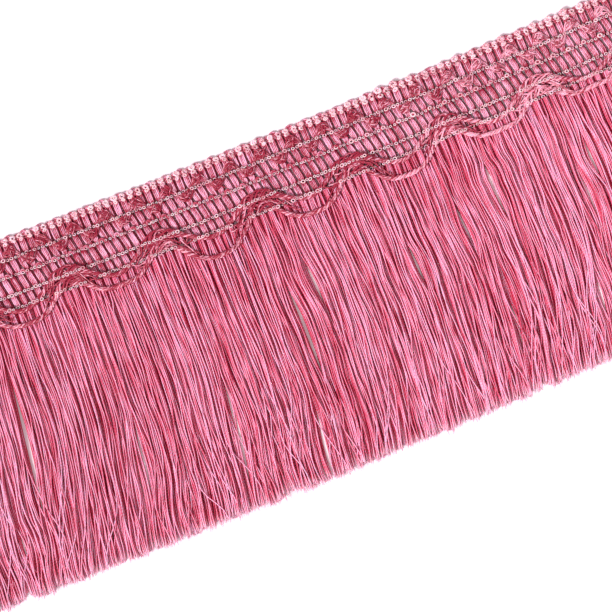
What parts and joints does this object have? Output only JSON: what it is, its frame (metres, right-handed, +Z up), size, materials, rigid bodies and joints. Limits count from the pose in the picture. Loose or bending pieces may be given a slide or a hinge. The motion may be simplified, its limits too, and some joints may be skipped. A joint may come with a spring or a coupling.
{
  "type": "tassel fringe trim",
  "caption": "Straight length of cut yarn fringe on a flat crochet-knit heading with chain rows, a zigzag gimp and scalloped twisted gimp cords.",
  "frame": {"origin": "on the floor under the middle of the trim as it lies flat, face up", "axes": "+X along the heading, +Y towards its looped edge, so that the fringe falls towards -Y, +Z up out of the trim's face"},
  "size_m": [0.3122, 0.1042, 0.0037],
  "materials": {
    "fringe_yarn": "satin two-ply rayon yarn, pink",
    "binding_thread": "shiny thin binding thread, pale pink",
    "floss": "glossy untwisted rayon floss, rose",
    "gimp_cord": "glossy twisted rayon cord, deep rose"
  },
  "bodies": {
    "root": {"heading": "fringe_yarn", "zigzag_gimp": "floss", "serpentine_upper": "gimp_cord", "serpentine_lower": "gimp_cord", "fringe": "fringe_yarn"}
  },
  "joints": []
}
